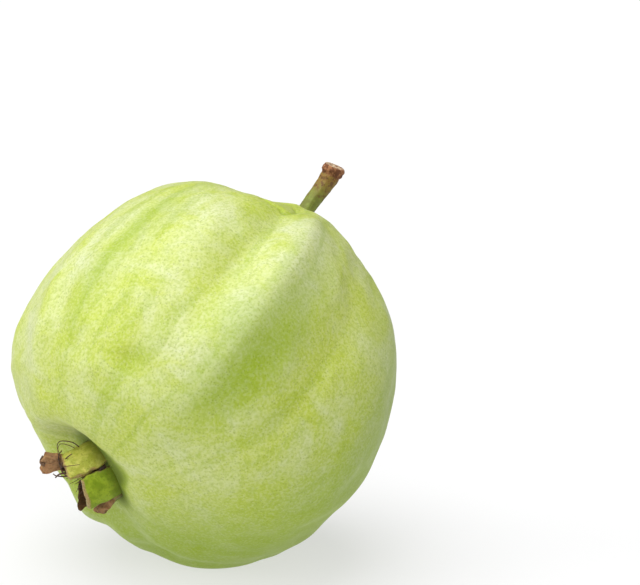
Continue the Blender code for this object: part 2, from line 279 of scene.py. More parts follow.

# Looks of the sepals: fleshy green, dried brown, the share of the length where the
# brown begins, and how crumpled the sepal is; then what lightens and darkens these
# colours, the darkening also standing for painted shade at each sepal's root, and the tan of dry
# margins
SEPAL_LOOKS = {
    "sepal_1": ((0.36, 0.38, 0.045), (0.20, 0.10, 0.03), 1.00, 0.45),
    "sepal_2": ((0.19, 0.275, 0.008), (0.22, 0.12, 0.045), 1.07, 0.30),
    "sepal_3": ((0.16, 0.17, 0.03), (0.30, 0.17, 0.075), 0.35, 1.0),
    "sepal_4": ((0.10, 0.08, 0.02), (0.10, 0.052, 0.018), 0.20, 0.8),
    "sepal_5": ((0.22, 0.22, 0.04), (0.42, 0.235, 0.11), 0.50, 0.9),
}
SEPAL_LIGHTER = (1.45, 1.35, 2.2)
SEPAL_DARKER = 0.45
SEPAL_DEEP_BROWN = 0.3
SEPAL_TAN = (0.42, 0.27, 0.14)

# Dried stamens: number, radius, length and distance of the foot from the calyx axis
# in millimetres, bend and swirl in degrees, sides, taper towards the tip and colours;
# then the floral disc they stand on
STAMEN_COUNT = 46
STAMEN_RADIUS = 0.13
STAMEN_LENGTH = (5.5, 9.0)
STAMEN_FOOT = (1.6, 4.0)
STAMEN_BEND = (-40.0, 70.0)
STAMEN_SWIRL = (-60.0, 60.0)
STAMEN_STEPS = 9
STAMEN_SEED = 11
THREAD_SIDES = 6
THREAD_TAPER = 0.5
THREAD_DARK = (0.025, 0.012, 0.006)
THREAD_BROWN = (0.13, 0.065, 0.03)
DISC_SIDES = 48
DISC_HEIGHTS = (-0.6, 0.4, 0.9, 1.1)
DISC_RADII = (4.6, 4.6, 3.68, 1.84)

# Loose dried threads outside the tuft: radius, then bearing, distance from the
# calyx axis and height of each point, in degrees and millimetres; then the steps
# from one point to the next
LOOSE_THREADS = (
    (0.16, ((60, 8.9, 3.6), (74, 9.9, 4.2), (82, 11.2, 6.2), (84, 10.6, 7.4), (80, 9.2, 7.9),
            (72, 7.6, 8.4))),
    (0.11, ((64, 8.9, 4.6), (76, 9.6, 5.2), (83, 10.6, 6.6), (82, 9.4, 8.0), (74, 7.2, 8.8))),
    (0.24, ((90, 3.4, 6.0), (84, 5.0, 8.6), (62, 7.0, 9.2), (54, 8.6, 7.6), (50, 9.3, 6.2))),
    (0.28, ((88, 3.0, 5.6), (84, 4.8, 8.8), (76, 6.6, 9.2), (72, 8.8, 8.6), (70, 9.6, 7.4))),
    (0.34, ((90, 2.6, 5.0), (88, 3.8, 8.4), (90, 4.4, 10.2), (95, 4.2, 11.4))),
    (0.32, ((80, 3.0, 5.0), (76, 4.4, 8.2), (64, 5.8, 9.6), (50, 5.6, 9.9), (38, 5.0, 9.6))),
    (0.24, ((100, 2.2, 5.0), (96, 3.0, 8.6), (98, 4.4, 10.8), (104, 5.4, 11.2))),
    (0.15, ((70, 2.6, 5.0), (66, 4.6, 8.8), (56, 6.8, 9.9), (40, 8.2, 9.0), (30, 9.0, 7.4),
            (26, 9.2, 6.4))),
    (0.55, ((90, 8.2, 12.0), (91, 8.7, 12.5), (90, 9.5, 12.3), (88, 10.2, 11.4))),
)
LOOSE_STEPS = 6

# Camera: distance and viewing angle, and the pixel where the fruit's middle is seen
IMAGE_WIDTH = 640
IMAGE_HEIGHT = 585
CAMERA_DISTANCE = 600.0
CAMERA_DROP = 12.0
MM_PER_PIXEL = 0.248
MIDDLE_PIXEL = (200.0, 354.0)
SENSOR_WIDTH = 36.0
NEAR_CLIP = 0.01
FAR_CLIP = 10.0

# Soft lights: name, direction it comes from, strength and apparent width in
# degrees; then the even surround, and the floor: size in metres, size of its uneven
# patches in millimetres, greys and glow
LIGHTS = (
    ("key", (-0.17, 0.0, 1.0), 2.95, 58.0),
    ("front", (0.0, -0.77, 0.64), 1.45, 50.0),
    ("left", (-0.90, -0.10, 0.42), 1.00, 50.0),
)
WHITE = (1.0, 1.0, 1.0, 1.0)
SURROUND = 0.10
FLOOR_SIZE = 6.0
FLOOR_UNEVENNESS = 160.0
FLOOR_DARKER = (0.270, 0.270, 0.273)
FLOOR_LIGHTER = (0.290, 0.290, 0.293)
FLOOR_GLOW = 0.62


def direction(heading, rise):
    """Unit vector at a compass heading from +X and a rise above level."""
    turn = math.radians(heading)
    lift = math.radians(rise)
    level = math.cos(lift)
    return np.array((level * math.cos(turn), level * math.sin(turn), math.sin(lift)))


def axes_round(axis):
    """The two axes across the given one: the first looks to the front."""
    front = direction(-90.0, FRONT_RISE)
    across = front - front.dot(axis) * axis
    across /= np.linalg.norm(across)
    return across, np.cross(axis, across)


def smooth_step(value):
    """Soft ramp from 0 to 1."""
    value = np.clip(value, 0.0, 1.0)
    return value * value * (3.0 - 2.0 * value)


def turn_from(phi, angle):
    """Turn from an angle round the fruit to phi, from minus to plus half a turn."""
    return (phi - angle + np.pi) % (2.0 * np.pi) - np.pi


def bell(value, centre, reach):
    """Soft bump of 1 at the centre; angles are given in degrees."""
    return np.exp(-((value - math.radians(centre)) / math.radians(reach)) ** 2)


# Shape of the fruit

def lobe_relief(phi, t):
    """Height of all lobes and furrows as a share of the radius."""
    relief = np.zeros(np.broadcast(phi, t).shape)
    for angle, height, before, after, centre, reach, winding in LOBES:
        crest = math.radians(angle) - math.radians(winding) * np.cos(t)
        off = turn_from(phi, crest)
        width = np.where(off < 0.0, math.radians(before), math.radians(after))
        across = np.exp(CREST_SOFTNESS - np.hypot(off / width, CREST_SOFTNESS))
        relief = relief + height * across * bell(t, centre, reach)
    return relief * smooth_step(np.sin(t) / LOBE_FADE_AT_ENDS)


def raw_fruit(phi, t):
    """Skin of the fruit before its ends are levelled."""
    axis = direction(STALK_END_HEADING, STALK_END_RISE)
    front, side = axes_round(axis)
    sine = np.abs(np.sin(t))
    cosine = np.cos(t)
    girth = GIRTH_RADIUS * sine ** GIRTH_FULLNESS
    height = HALF_LENGTH * np.sign(cosine) * np.abs(cosine) ** LENGTH_FULLNESS
    swell = 1.0 + lobe_relief(phi, t)
    x = girth * np.cos(phi)
    y = girth * np.sin(phi)
    hollow = STALK_HOLLOW_DEPTH * np.exp(
        -(x ** 2 + (y - STALK_HOLLOW_SIDE) ** 2) / STALK_HOLLOW_SPREAD ** 2)
    basin = BASIN_DEPTH * np.exp(-(x ** 2 + y ** 2) / BASIN_SPREAD ** 2)
    dip = np.where(cosine > 0.0, -hollow, basin)
    belly = sine ** 2
    along = height * swell + dip - BELLY_BACK * belly
    return (FRUIT_MIDDLE
            + (x * swell)[..., None] * front
            + (y * swell + BELLY_SIDE * belly)[..., None] * side
            + along[..., None] * axis)


def stalk_root():
    """Where the stalk leaves the fruit, and its first direction."""
    axis = direction(STALK_END_HEADING, STALK_END_RISE)
    front, side = axes_round(axis)
    point = (FRUIT_MIDDLE + STALK_HOLLOW_SIDE * side
             + (HALF_LENGTH - STALK_HOLLOW_DEPTH) * axis)
    return point, direction(*STALK_START)


def calyx_root():
    """Middle of the flat under the sepals, and the way the calyx points."""
    axis = direction(STALK_END_HEADING, STALK_END_RISE)
    point = FRUIT_MIDDLE - (HALF_LENGTH - BASIN_DEPTH) * axis
    return point, direction(CALYX_HEADING, CALYX_RISE)


def levelled(points, root, normal, flat, blend):
    """Draws the skin near a root onto the plane that the piece grows from."""
    offset = points - root
    height = offset @ normal
    sideways = np.linalg.norm(offset - height[..., None] * normal, axis=-1)
    near = np.where(np.abs(height) < blend, 1.0, 0.0)
    pull = near * (1.0 - smooth_step((sideways - flat) / (blend - flat)))
    return points - (pull * height)[..., None] * normal


def soft_noise(x, y, z, seed):
    """Smooth noise from -1 to 1, with one value to a unit of distance."""
    table = np.random.default_rng(seed).uniform(-1.0, 1.0, (NOISE_CELLS,) * 3)
    cells = [np.floor(part).astype(int) for part in (x, y, z)]
    mix = [smooth_step(part - cell) for part, cell in zip((x, y, z), cells)]
    total = np.zeros_like(x)
    for corner in range(8):
        steps = (corner & 1, corner >> 1 & 1, corner >> 2 & 1)
        weight = np.ones_like(x)
        for step, part in zip(steps, mix):
            weight = weight * (part if step else 1.0 - part)
        spot = tuple((cell + step) % NOISE_CELLS for cell, step in zip(cells, steps))
        total += weight * table[spot]
    return total


def dent_height(around, t):
    """Fine relief of the skin in millimetres, from layers of noise."""
    total = np.zeros(len(t))
    for layer, (across, along, height) in enumerate(SKIN_DENTS):
        turn = GIRTH_RADIUS / across
        total += height * soft_noise(
            around[:, 0] * turn, around[:, 1] * turn, t * GIRTH_RADIUS / along, layer)
    return total


def pucker_height(points):
    """Fine folds of the skin that run in to the calyx and to the stalk."""
    total = np.zeros(points.shape[:-1])
    rings = ((calyx_root(), PUCKER_FROM_CALYX), (stalk_root(), PUCKER_FROM_STALK))
    for (root, axis), ring in rings:
        front, side = axes_round(axis)
        offset = points - root
        x = offset @ front
        y = offset @ side
        reach = np.hypot(x, y)
        near = np.where(np.abs(offset @ axis) < BASIN_FLAT_BLEND, 1.0, 0.0)
        turn = np.arctan2(y, x)
        uneven = PUCKER_UNEVENNESS * np.sin(3.0 * turn)
        folds = np.cos(PUCKER_COUNT * turn + uneven + PUCKER_WINDING * reach)
        fade = np.exp(-((reach - ring) / PUCKER_REACH) ** 2)
        clear = smooth_step(reach / PUCKER_CLEAR_OF_ROOT)
        total += near * PUCKER_HEIGHT * folds * (fade * clear)
    return total


def fruit_skin(phi, t):
    """Finished skin of the fruit, before its fine relief."""
    points = raw_fruit(phi, t)
    root, way = stalk_root()
    points = levelled(points, root, way, STALK_FLAT_RADIUS, STALK_FLAT_BLEND)
    root, way = calyx_root()
    points = levelled(points, root, way, BASIN_FLAT_RADIUS, BASIN_FLAT_BLEND)
    upward = np.array((0.0, 0.0, 1.0))
    return levelled(points, np.zeros(3), upward, REST_FLAT_RADIUS, REST_FLAT_BLEND)


# Mesh helpers

def new_object(name, mesh):
    """Links a mesh as a smooth-shaded object."""
    mesh.shade_smooth()
    thing = bpy.data.objects.new(name, mesh)
    bpy.context.scene.collection.objects.link(thing)
    return thing


def add_attribute(mesh, name, values):
    """Stores one number a vertex for the shader."""
    layer = mesh.attributes.new(name, "FLOAT", "POINT")
    layer.data.foreach_set("value", np.asarray(values, dtype=np.float32))


def ride_and_stand_for(piece, slot, *nodes):
    """Ties a piece to the body, and hides what it stands for."""
    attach(piece, "root")
    if nodes:
        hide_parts(*nodes)


def mesh_from(name, points, faces):
    """Mesh in metres from points in millimetres."""
    mesh = bpy.data.meshes.new(name)
    mesh.from_pydata([tuple(point) for point in np.asarray(points) * MM], [], faces)
    mesh.validate()
    return mesh


def tube_faces(rings, sides, first=0):
    """Faces of a closed tube whose rings follow each other, with end fans."""
    faces = []
    for ring in range(rings - 1):
        for side in range(sides):
            a = first + ring * sides + side
            b = first + ring * sides + (side + 1) % sides
            faces.append((a, b, b + sides, a + sides))
    start = first + rings * sides
    last = first + (rings - 1) * sides
    for side in range(sides):
        after = (side + 1) % sides
        faces.append((start, first + after, first + side))
        faces.append((start + 1, last + side, last + after))
    return faces


def tube_points(path, radii, sides):
    """Points of a tube round a path, with one more point at each end."""
    path = np.asarray(path)
    tangents = np.gradient(path, axis=0)
    points = []
    for ring, centre in enumerate(path):
        tangent = tangents[ring] / np.linalg.norm(tangents[ring])
        across, over = axes_round(tangent)
        for side in range(sides):
            turn = 2.0 * math.pi * side / sides
            way = math.cos(turn) * across + math.sin(turn) * over
            points.append(centre + radii[ring] * way)
    points.append(path[0])
    points.append(path[-1])
    return points


# Material helpers

def new_material(name):
    """Empty node material with its shader and tree."""
    material = bpy.data.materials.new(name)
    material.use_nodes = True
    tree = material.node_tree
    return material, tree, tree.nodes["Principled BSDF"]


def wire(tree, value, socket):
    """Sets a socket to a plain value, or links it to another socket."""
    if isinstance(value, bpy.types.NodeSocket):
        tree.links.new(value, socket)
    elif isinstance(value, tuple) and len(value) == 3 and socket.type == "RGBA":
        socket.default_value = (*value, 1.0)
    else:
        socket.default_value = value


def attribute(tree, name):
    """The shader's reading of a vertex number."""
    node = tree.nodes.new("ShaderNodeAttribute")
    node.attribute_name = name
    return node.outputs["Fac"]


def object_place(tree):
    """Position on the object in millimetres."""
    place = tree.nodes.new("ShaderNodeTexCoord")
    mapping = tree.nodes.new("ShaderNodeMapping")
    mapping.inputs["Scale"].default_value = (1.0 / MM, 1.0 / MM, 1.0 / MM)
    tree.links.new(place.outputs["Object"], mapping.inputs["Vector"])
    return mapping.outputs["Vector"]


def noise_value(tree, place, size, detail, rough=0.5, distortion=0.0):
    """Soft noise with features of about the given size in millimetres."""
    node = tree.nodes.new("ShaderNodeTexNoise")
    node.inputs["Scale"].default_value = 1.0 / size
    node.inputs["Detail"].default_value = detail
    node.inputs["Roughness"].default_value = rough
    node.inputs["Distortion"].default_value = distortion
    tree.links.new(place, node.inputs["Vector"])
    return node.outputs["Fac"]


def cell_distance(tree, place, size):
    """Distance to the nearest of scattered points, one to a cell of the size."""
    node = tree.nodes.new("ShaderNodeTexVoronoi")
    node.inputs["Scale"].default_value = 1.0 / size
    tree.links.new(place, node.inputs["Vector"])
    return node.outputs["Distance"]


def ramp(tree, value, low, high):
    """Soft ramp of a value from 0 at low to 1 at high."""
    node = tree.nodes.new("ShaderNodeMapRange")
    node.interpolation_type = "SMOOTHSTEP"
    node.clamp = True
    node.inputs["From Min"].default_value = low
    node.inputs["From Max"].default_value = high
    tree.links.new(value, node.inputs["Value"])
    return node.outputs["Result"]


def share_of(tree, value, low, high, most):
    """Soft ramp of a value from 0 at low to a given most at high."""
    return maths(tree, "MULTIPLY", ramp(tree, value, low, high), most)


def maths(tree, operation, first, second):
    """One sum on two values."""
    node = tree.nodes.new("ShaderNodeMath")
    node.operation = operation
    wire(tree, first, node.inputs[0])
    wire(tree, second, node.inputs[1])
    return node.outputs[0]


def scaled(tree, value, middle, gain):
    """How far a value lies from its middle, times a gain."""
    return maths(tree, "MULTIPLY", maths(tree, "SUBTRACT", value, middle), gain)


def raised(tree, value, gain, floor):
    """A value times a gain, on top of a floor."""
    return maths(tree, "ADD", maths(tree, "MULTIPLY", value, gain), floor)


def blend_colour(tree, share, first, second):
    """Mixes two colours by a share."""
    node = tree.nodes.new("ShaderNodeMix")
    node.data_type = "RGBA"
    wire(tree, share, node.inputs[0])
    wire(tree, first, node.inputs[6])
    wire(tree, second, node.inputs[7])
    return node.outputs[2]


def layered(tree, colour, layers):
    """Lays further colours over a first one, each by its own share."""
    for share, tint in layers:
        colour = blend_colour(tree, share, colour, tint)
    return colour


def bump(tree, height, distance, strength, before=None):
    """Bump from a height; the distance is in millimetres."""
    node = tree.nodes.new("ShaderNodeBump")
    node.inputs["Strength"].default_value = strength
    node.inputs["Distance"].default_value = distance * MM
    tree.links.new(height, node.inputs["Height"])
    if before is not None:
        tree.links.new(before, node.inputs["Normal"])
    return node.outputs["Normal"]


# Materials

def skin_material():
    """Waxy yellow-green skin with mottling and specks; paler lobes and deeper furrows, partly
    painted light and shade, with further painted light and shade in bands, on the side turned
    down and round the calyx and the stalk.
    """
    material, tree, shader = new_material("guava_skin_fine")
    place = object_place(tree)
    lobe = attribute(tree, "lobe")
    # Painted shade round the calyx and round the stalk in its hollow
    calyx = attribute(tree, "calyx_painted_shade")
    stalk = attribute(tree, "stalk_painted_shade")
    streak = attribute(tree, "streak")
    # deep is painted shade: deeper green on the side turned down, beside the crests, in the
    # furrows and in the fold by the stalk
    deep = attribute(tree, "deep")
    patch = noise_value(tree, place, PATCH_SIZE, 4.0, 0.6, 0.6)
    mottle = noise_value(tree, place, MOTTLE_SIZE, 3.0, 0.6)
    grain = noise_value(tree, place, GRAIN_SIZE, 2.0, 0.6)
    speck = cell_distance(tree, place, SPECK_SIZE)
    thick = noise_value(tree, place, THICK_SPECK_SIZE, 2.0)
    near_speck = maths(tree, "SUBTRACT", speck, maths(tree, "MULTIPLY", thick, 0.40))
    # Paler on the crests and deeper green in the furrows, following the relief: partly the skin's
    # own tone, partly painted light and shade
    height = maths(tree, "ADD", maths(tree, "MULTIPLY", lobe, 0.45),
                   scaled(tree, patch, 0.425, 1.9))
    # Painted light: paler bands on the lobes where light falls, broken up by the patches
    painted_light = maths(tree, "MULTIPLY", attribute(tree, "painted_light"), ramp(tree, patch, 0.25, 0.58))
    colour = blend_colour(tree, ramp(tree, height, -0.15, 0.95), SKIN_MID, SKIN_PALE)
    colour = layered(tree, colour, (
        (share_of(tree, height, -0.1, -1.4, 0.7), SKIN_DEEP),
        # Painted light where light falls on the lobes
        (painted_light, SKIN_PALE),
        # Painted shade from deep
        (deep, SKIN_DEEP),
        (share_of(tree, mottle, 0.48, 0.70, 0.18), SKIN_DEEP),
        (share_of(tree, mottle, 0.50, 0.30, 0.15), SKIN_PALE),
        (share_of(tree, streak, 0.55, 0.85, 0.30), SKIN_DEEP),
        (share_of(tree, grain, 0.46, 0.66, 0.32), SKIN_DEEP),
        (share_of(tree, grain, 0.52, 0.34, 0.24), SKIN_PALE),
        # Painted shade from deep once more, over the mottling and grain
        (maths(tree, "MULTIPLY", deep, 0.55), SKIN_DEEP),
        (share_of(tree, near_speck, 0.12, -0.06, 0.34), SKIN_SPECK),
        # Painted shade round the calyx, deeper green and then near black, and round the stalk
        (share_of(tree, calyx, 0.0, 0.4, 0.6), SKIN_DEEP),
        (maths(tree, "MULTIPLY", calyx, 0.80), SKIN_SHADE),
        (maths(tree, "MULTIPLY", stalk, 0.35), SKIN_DEEP),
    ))
    wire(tree, colour, shader.inputs["Base Color"])
    gloss = maths(tree, "ADD", raised(tree, mottle, 0.16, 0.38),
                  maths(tree, "MULTIPLY", calyx, 0.4))
    wire(tree, gloss, shader.inputs["Roughness"])
    shader.inputs["Specular IOR Level"].default_value = 0.25
    shader.inputs["Subsurface Weight"].default_value = 0.15
    shader.inputs["Subsurface Radius"].default_value = (1.0, 0.8, 0.25)
    shader.inputs["Subsurface Scale"].default_value = 0.002
    shader.inputs["Sheen Weight"].default_value = 0.02
    shader.inputs["Sheen Roughness"].default_value = 0.5
    shader.inputs["Coat Weight"].default_value = 0.05
    shader.inputs["Coat Roughness"].default_value = 0.45
    pores = bump(tree, speck, 0.05, 0.4)
    wire(tree, bump(tree, grain, 0.10, 0.7, pores), shader.inputs["Normal"])
    return material


def sepal_material(name, fleshy, dried, dried_from):
    """Fleshy green that turns to dried brown at its margins and towards its tip, with painted
    shade darkening its root.
    """
    material, tree, shader = new_material(name)
    place = object_place(tree)
    share = attribute(tree, "share")
    edge = attribute(tree, "edge")
    broad = noise_value(tree, place, 2.2, 3.0, 0.6)
    fine = noise_value(tree, place, 0.5, 3.0, 0.6)
    light = tuple(part * gain for part, gain in zip(fleshy, SEPAL_LIGHTER))
    darker_and_root_shade = tuple(part * SEPAL_DARKER for part in fleshy)
    deep_brown = tuple(part * SEPAL_DEEP_BROWN for part in dried)
    wander = scaled(tree, broad, 0.5, 0.35)
    rim = ramp(tree, maths(tree, "ADD", edge, wander), 0.80, 0.96)
    tip = ramp(tree, maths(tree, "ADD", share, wander), dried_from - 0.05, dried_from + 0.07)
    brown = layered(tree, dried, (
        (share_of(tree, broad, 0.44, 0.68, 0.6), deep_brown),
        (share_of(tree, fine, 0.50, 0.70, 0.5), deep_brown),
    ))
    tan = blend_colour(tree, share_of(tree, fine, 0.35, 0.65, 0.8), SEPAL_TAN, dried)
    colour = blend_colour(tree, ramp(tree, broad, 0.40, 0.60), light, fleshy)
    colour = layered(tree, colour, (
        (share_of(tree, fine, 0.52, 0.7, 0.5), darker_and_root_shade),
        # Painted shade: darker towards the root, where the sepal meets the fruit
        (ramp(tree, share, 0.36, 0.02), darker_and_root_shade),
        (maths(tree, "MULTIPLY", rim, 0.85), tan),
        (tip, brown),
    ))
    wire(tree, colour, shader.inputs["Base Color"])
    wire(tree, raised(tree, tip, 0.3, 0.48), shader.inputs["Roughness"])
    shader.inputs["Specular IOR Level"].default_value = 0.18
    shader.inputs["Subsurface Weight"].default_value = 0.12
    shader.inputs["Subsurface Scale"].default_value = 0.0012
    wire(tree, bump(tree, fine, 0.12, 0.7, bump(tree, broad, 0.3, 0.5)), shader.inputs["Normal"])
    return material


def stalk_material():
    """Olive-green bark with brown freckles and a red-brown, cracked cut end."""
    material, tree, shader = new_material("stalk_bark_fine")
    place = object_place(tree)
    share = attribute(tree, "share")
    rim = attribute(tree, "edge")
    broad = noise_value(tree, place, 2.0, 4.0, 0.65)
    fine = noise_value(tree, place, 0.45, 4.0, 0.65)
    blotch = noise_value(tree, place, 1.3, 2.0, 0.6)
    rust = maths(tree, "ADD", share, maths(tree, "MULTIPLY", broad, 0.7))
    freckle = maths(tree, "MULTIPLY", ramp(tree, fine, 0.50, 0.62), ramp(tree, rust, 0.95, 1.25))
    stain = maths(tree, "MULTIPLY", ramp(tree, blotch, 0.52, 0.66), ramp(tree, share, 0.45, 0.75))
    end = ramp(tree, maths(tree, "ADD", share, scaled(tree, broad, 0.5, 0.05)), 0.872, 0.900)
    wood = blend_colour(tree, ramp(tree, blotch, 0.42, 0.60), STALK_WOOD, STALK_DARK_WOOD)
    wood = blend_colour(tree, share_of(tree, fine, 0.55, 0.70, 0.5), wood, STALK_CRACK)
    cut = blend_colour(tree, ramp(tree, fine, 0.42, 0.6), CUT_PALE, CUT_DARK)
    colour = blend_colour(tree, ramp(tree, broad, 0.36, 0.66), STALK_OLIVE, STALK_DARK_OLIVE)
    colour = layered(tree, colour, (
        (ramp(tree, share, 0.55, 0.85), STALK_OCHRE),
        (freckle, STALK_FRECKLE),
        (stain, STALK_STAIN),
        (end, wood),
        (rim, cut),
    ))
    wire(tree, colour, shader.inputs["Base Color"])
    wire(tree, raised(tree, end, 0.25, 0.55), shader.inputs["Roughness"])
    shader.inputs["Specular IOR Level"].default_value = 0.3
    wire(tree, bump(tree, fine, 0.15, 0.8, bump(tree, broad, 0.3, 0.5)), shader.inputs["Normal"])
    return material


def thread_material():
    """Dried dark-brown threads."""
    material, tree, shader = new_material("dried_thread")
    place = object_place(tree)
    value = noise_value(tree, place, 0.8, 3.0, 0.6)
    colour = blend_colour(tree, ramp(tree, value, 0.35, 0.7), THREAD_BROWN, THREAD_DARK)
    wire(tree, colour, shader.inputs["Base Color"])
    shader.inputs["Roughness"].default_value = 0.75
    wire(tree, bump(tree, value, 0.1, 0.6), shader.inputs["Normal"])
    return material


def floor_material():
    """Plain pale sweep with the faintest unevenness."""
    material, tree, shader = new_material("pale_floor")
    place = object_place(tree)
    value = noise_value(tree, place, FLOOR_UNEVENNESS, 2.0)
    colour = blend_colour(tree, value, FLOOR_DARKER, FLOOR_LIGHTER)
    wire(tree, colour, shader.inputs["Base Color"])
    shader.inputs["Emission Color"].default_value = WHITE
    shader.inputs["Emission Strength"].default_value = FLOOR_GLOW
    shader.inputs["Roughness"].default_value = 0.85
    shader.inputs["Specular IOR Level"].default_value = 0.15
    return material


# Numbers that the shader of the skin reads

def band_share(phi, t, bands):
    """Sum of soft bands along the fruit."""
    total = np.zeros(len(t))
    for angle, width, centre, reach, share in bands:
        across = bell(turn_from(phi, math.radians(angle)), 0.0, width)
        total += share * across * bell(t, centre, reach)
    return np.clip(total, 0.0, 1.0)


def painted_shade_share(phi, t, outward):
    """Share of painted shade in deeper green: the side turned down, and bands beside the crests
    and in the furrows.
    """
    down = smooth_step((SHADE_BELOW - outward @ direction(*LIT_SIDE)) / SHADE_BLEND)
    return np.clip(SHADE_UNDER * down + band_share(phi, t, PAINTED_SHADE_BANDS), 0.0, 1.0)


def fold_share(points):
    """Nearness of the skin to the small fold beside the stalk, from 0 to 1."""
    marks = np.radians(np.array(FOLD, dtype=float))
    steps = np.linspace(0.0, len(marks) - 1.0, FOLD_STEPS)
    line = fruit_skin(np.interp(steps, range(len(marks)), marks[:, 0]),
                      np.interp(steps, range(len(marks)), marks[:, 1]))
    nearest = np.full(len(points), np.inf)
    for spot in line:
        nearest = np.minimum(nearest, np.linalg.norm(points - spot, axis=1))
    return np.exp(-(nearest / FOLD_WIDTH) ** 2)


def calyx_shade(phi, points):
    """Share of painted shade round the calyx, wider on its front side."""
    turned = np.cos(phi - math.radians(CALYX_SHADE_SIDE))
    nearer = smooth_step((turned - CALYX_SHADE_SIDE_EDGE) / (1.0 - CALYX_SHADE_SIDE_EDGE))
    reach = np.linalg.norm(points - calyx_root()[0], axis=1) - CALYX_SHADE_FURTHER * nearer
    return 1.0 - smooth_step((reach - CALYX_SHADE_TO) / CALYX_SHADE_FADE)


def stalk_shade(points):
    """Share of painted shade round the stalk, in its hollow."""
    reach = np.linalg.norm(points - stalk_root()[0], axis=1)
    return 1.0 - smooth_step((reach - STALK_SHADE_TO) / STALK_SHADE_FADE)


# Pieces

def make_fruit():
    """The lobed fruit with its fine relief and the numbers its shader reads."""
    bm = bmesh.new()
    bmesh.ops.create_uvsphere(bm, u_segments=SKIN_SEGMENTS, v_segments=SKIN_RINGS, radius=1.0)
    mesh = bpy.data.meshes.new("fruit_fine")
    bm.to_mesh(mesh)
    bm.free()
    unit = np.zeros(len(mesh.vertices) * 3)
    mesh.vertices.foreach_get("co", unit)
    unit = unit.reshape(-1, 3)
    phi = np.arctan2(unit[:, 1], unit[:, 0])
    t = np.arccos(np.clip(unit[:, 2], -1.0, 1.0))
    around = unit[:, :2] / np.maximum(np.hypot(unit[:, 0], unit[:, 1]), 1e-6)[:, None]
    wander = soft_noise(around[:, 0] * WANDER_CELLS, around[:, 1] * WANDER_CELLS,
                        t * WANDER_CELLS, WANDER_SEED)
    fade = smooth_step(np.sin(t) / WANDER_FADE_AT_ENDS)
    phi = phi + math.radians(CREST_WANDER) * wander * fade
    points = fruit_skin(phi, t)
    outward = points - FRUIT_MIDDLE
    outward /= np.linalg.norm(outward, axis=1)[:, None]
    fold = fold_share(points)
    relief = dent_height(around * np.sin(t)[:, None], t) + pucker_height(points)
    relief -= FOLD_DEPTH * fold
    resting = 1.0 - smooth_step(points[:, 2] / RELIEF_FULL_FROM)
    points = points + (relief * (1.0 - resting))[:, None] * outward
    points[:, 2] = np.maximum(points[:, 2], 0.0)
    mesh.vertices.foreach_set("co", (points * MM).ravel())
    mesh.update()
    # Painted shade: deeper green on the side turned down, in bands beside the crests and in the
    # furrows, and in the fold by the stalk
    deep = np.maximum(painted_shade_share(phi, t, outward), FOLD_SHADE * fold)
    streak = soft_noise(around[:, 0] * STREAK_CELLS_ROUND, around[:, 1] * STREAK_CELLS_ROUND,
                        t * STREAK_CELLS_ALONG, STREAK_SEED)
    add_attribute(mesh, "lobe", lobe_relief(phi, t) / FULL_LOBE)
    add_attribute(mesh, "deep", deep)
    # Painted light: bands where light falls on the lobes
    add_attribute(mesh, "painted_light", band_share(phi, t, PAINTED_LIGHT_BANDS))
    # Painted shade round the calyx and round the stalk
    add_attribute(mesh, "calyx_painted_shade", calyx_shade(phi, points))
    add_attribute(mesh, "stalk_painted_shade", stalk_shade(points))
    add_attribute(mesh, "streak", 0.5 + 0.5 * streak)
    fruit = new_object("fruit_fine", mesh)
    mesh.materials.append(skin_material())
    ride_and_stand_for(fruit, "skin", "fruit")


def stalk_path():
    """Middle line of the stalk and its radius, in fine steps."""
    root, first = stalk_root()
    last = direction(*STALK_FINISH)
    shares = []
    for (before, narrow), (after, wide) in zip(STALK_RADII, STALK_RADII[1:]):
        steps = max(1, round(abs(after - before) * STALK_FILL_RINGS))
        for step in range(steps):
            mix = step / steps
            radius = narrow + (wide - narrow) * smooth_step(mix)
            shares.append((before + (after - before) * mix, radius))
    shares.append(STALK_RADII[-1])
    line = [root + SEPAL_GAP * first]
    for step in range(STALK_PATH_STEPS):
        share = (step + 0.5) / STALK_PATH_STEPS
        bend = smooth_step((share - STALK_BEND_FROM) / (1.0 - STALK_BEND_FROM))
        way = first * (1.0 - bend) + last * bend
        line.append(line[-1] + way / np.linalg.norm(way) * STALK_LENGTH / STALK_PATH_STEPS)
    path = [line[min(STALK_PATH_STEPS, round(share * STALK_PATH_STEPS))] for share, _ in shares]
    path[0] = root - SEPAL_SINK * first
    return np.array(path), shares, last


def stalk_relief(turn, share):
    """Ribs, bark and cracks of the stalk as a factor on its radius."""
    x = math.cos(turn)
    y = math.sin(turn)
    rib = sum(height * math.cos(count * turn + shift) for count, shift, height in STALK_RIBS)
    spot = Vector((x * BARK_CELLS[0], y * BARK_CELLS[0], share * BARK_CELLS[1]))
    rough = BARK_HEIGHT * noise.noise(spot) + BARK_GRAIN_HEIGHT * noise.noise(spot * 3.0)
    flare = smooth_step((share - FLARE_FROM) / FLARE_BLEND)
    spot = Vector((x * CRACK_CELLS[0], y * CRACK_CELLS[0], share * CRACK_CELLS[1]))
    crack = CRACK_HEIGHT * flare * noise.noise(spot)
    return 1.0 + rib * (1.0 - 0.5 * flare) + rough + crack


